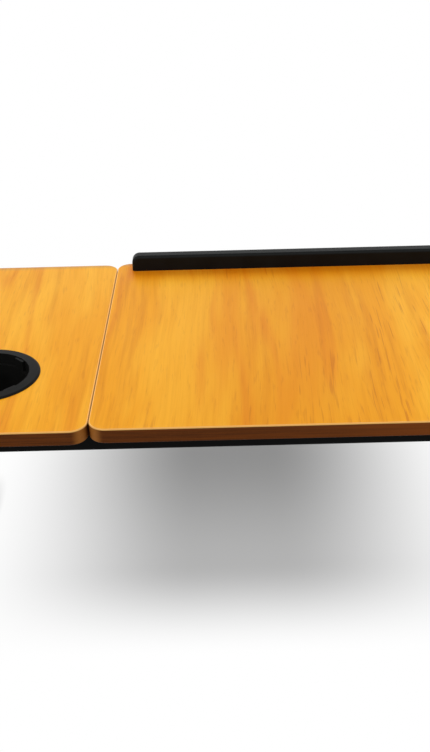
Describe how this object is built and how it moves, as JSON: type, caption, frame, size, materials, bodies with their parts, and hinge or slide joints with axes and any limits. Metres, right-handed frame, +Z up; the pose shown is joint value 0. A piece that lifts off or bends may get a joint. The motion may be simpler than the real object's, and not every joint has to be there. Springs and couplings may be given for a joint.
{
  "type": "folding laptop table",
  "caption": "Low bed table with a fixed side panel and cup well, a main panel that tilts on a notched prop, and telescoping legs that fold in underneath.",
  "frame": {"origin": "on the floor, under the middle of the table top", "axes": "+X along the table towards the main panel, +Y towards the stop bar and the user, +Z up"},
  "size_m": [0.6, 0.33, 0.2672],
  "materials": {
    "laminate": "honey wood-grain laminate, satin",
    "edge_band": "dark brown edge strip, pale rounded rim",
    "frame_coat": "black powder coat, fine texture",
    "black_plastic": "moulded black plastic, light texture",
    "button_plastic": "moulded dark grey plastic, satin",
    "rubber": "matt black rubber",
    "steel": "zinc-plated steel"
  },
  "bodies": {
    "frame": {"near_rail": "frame_coat", "far_rail": "frame_coat", "left_crossbar": "frame_coat", "seam_crossbar": "frame_coat", "right_crossbar": "frame_coat", "rail_end_caps": "black_plastic", "side_board": "laminate", "side_edge_band": "edge_band", "side_board_screws": "steel", "cup_holder": "black_plastic", "left_tilt_rack": "black_plastic", "right_tilt_rack": "black_plastic", "rack_screws": "steel", "frame_hinge_leaves": "steel", "frame_hinge_screws": "steel", "hinge_pins": "steel", "panel_bumpers": "rubber", "bracket_bolts": "steel", "leg_pivot_pins": "steel", "near_left_leg_bracket": "black_plastic", "far_left_leg_bracket": "black_plastic", "near_right_leg_bracket": "black_plastic", "far_right_leg_bracket": "black_plastic"},
    "main_panel": {"main_board": "laminate", "main_edge_band": "edge_band", "stop_bar": "black_plastic", "stop_bar_screws": "steel", "panel_hinge_leaves": "steel", "panel_hinge_screws": "steel", "prop_saddles": "black_plastic", "saddle_screws": "steel"},
    "prop": {"tilt_prop": "steel"},
    "left_leg": {"left_leg_knuckles": "black_plastic", "left_outer_tubes": "frame_coat", "left_clamp_collars": "black_plastic", "left_lever_pins": "steel", "left_spreader": "frame_coat"},
    "left_leg_slide": {"left_inner_leg": "frame_coat", "left_glide_bushes": "black_plastic", "left_foot_pads": "rubber"},
    "right_leg": {"right_leg_knuckles": "black_plastic", "right_outer_tubes": "frame_coat", "right_clamp_collars": "black_plastic", "right_lever_pins": "steel", "right_spreader": "frame_coat"},
    "right_leg_slide": {"right_inner_leg": "frame_coat", "right_glide_bushes": "black_plastic", "right_foot_pads": "rubber"},
    "near_left_lever": {"near_left_clamp_lever": "black_plastic"},
    "near_left_button": {"near_left_fold_button": "button_plastic"},
    "far_left_lever": {"far_left_clamp_lever": "black_plastic"},
    "far_left_button": {"far_left_fold_button": "button_plastic"},
    "near_right_lever": {"near_right_clamp_lever": "black_plastic"},
    "near_right_button": {"near_right_fold_button": "button_plastic"},
    "far_right_lever": {"far_right_clamp_lever": "black_plastic"},
    "far_right_button": {"far_right_fold_button": "button_plastic"}
  },
  "joints": [
    {"name": "panel_tilt", "type": "hinge", "parent": "frame", "child": "main_panel", "pos_m": [0.0944, 0.1525, 0.2352], "axis": [-1, 0, 0], "range_deg": [0, 30]},
    {"name": "prop_swing", "type": "hinge", "parent": "main_panel", "child": "prop", "pos_m": [0.074, 0.0175, 0.2352], "axis": [1, 0, 0], "range_deg": [0, 60]},
    {"name": "left_leg_fold", "type": "hinge", "parent": "frame", "child": "left_leg", "pos_m": [-0.276, 0, 0.207], "axis": [0, -1, 0], "range_deg": [0, 90]},
    {"name": "left_leg_extend", "type": "slide", "parent": "left_leg", "child": "left_leg_slide", "axis": [0, 0, -1], "range_m": [0, 0.06]},
    {"name": "right_leg_fold", "type": "hinge", "parent": "frame", "child": "right_leg", "pos_m": [0.276, 0, 0.207], "axis": [0, 1, 0], "range_deg": [0, 90]},
    {"name": "right_leg_extend", "type": "slide", "parent": "right_leg", "child": "right_leg_slide", "axis": [0, 0, -1], "range_m": [0, 0.06]},
    {"name": "near_left_clamp", "type": "hinge", "parent": "left_leg", "child": "near_left_lever", "pos_m": [-0.276, -0.156, 0.089], "axis": [0, 0, 1], "range_deg": [0, 105]},
    {"name": "near_left_press", "type": "slide", "parent": "frame", "child": "near_left_button", "axis": [0, 1, 0], "range_m": [0, 0.0025], "stiffness_N_per_m": 1500},
    {"name": "far_left_clamp", "type": "hinge", "parent": "left_leg", "child": "far_left_lever", "pos_m": [-0.276, 0.156, 0.089], "axis": [0, 0, -1], "range_deg": [0, 105]},
    {"name": "far_left_press", "type": "slide", "parent": "frame", "child": "far_left_button", "axis": [0, -1, 0], "range_m": [0, 0.0025], "stiffness_N_per_m": 1500},
    {"name": "near_right_clamp", "type": "hinge", "parent": "right_leg", "child": "near_right_lever", "pos_m": [0.276, -0.156, 0.089], "axis": [0, 0, -1], "range_deg": [0, 105]},
    {"name": "near_right_press", "type": "slide", "parent": "frame", "child": "near_right_button", "axis": [0, 1, 0], "range_m": [0, 0.0025], "stiffness_N_per_m": 1500},
    {"name": "far_right_clamp", "type": "hinge", "parent": "right_leg", "child": "far_right_lever", "pos_m": [0.276, 0.156, 0.089], "axis": [0, 0, 1], "range_deg": [0, 105]},
    {"name": "far_right_press", "type": "slide", "parent": "frame", "child": "far_right_button", "axis": [0, -1, 0], "range_m": [0, 0.0025], "stiffness_N_per_m": 1500}
  ],
  "couplings": [
    {"joint": "prop_swing", "follows": "panel_tilt", "ratio": 2}
  ]
}
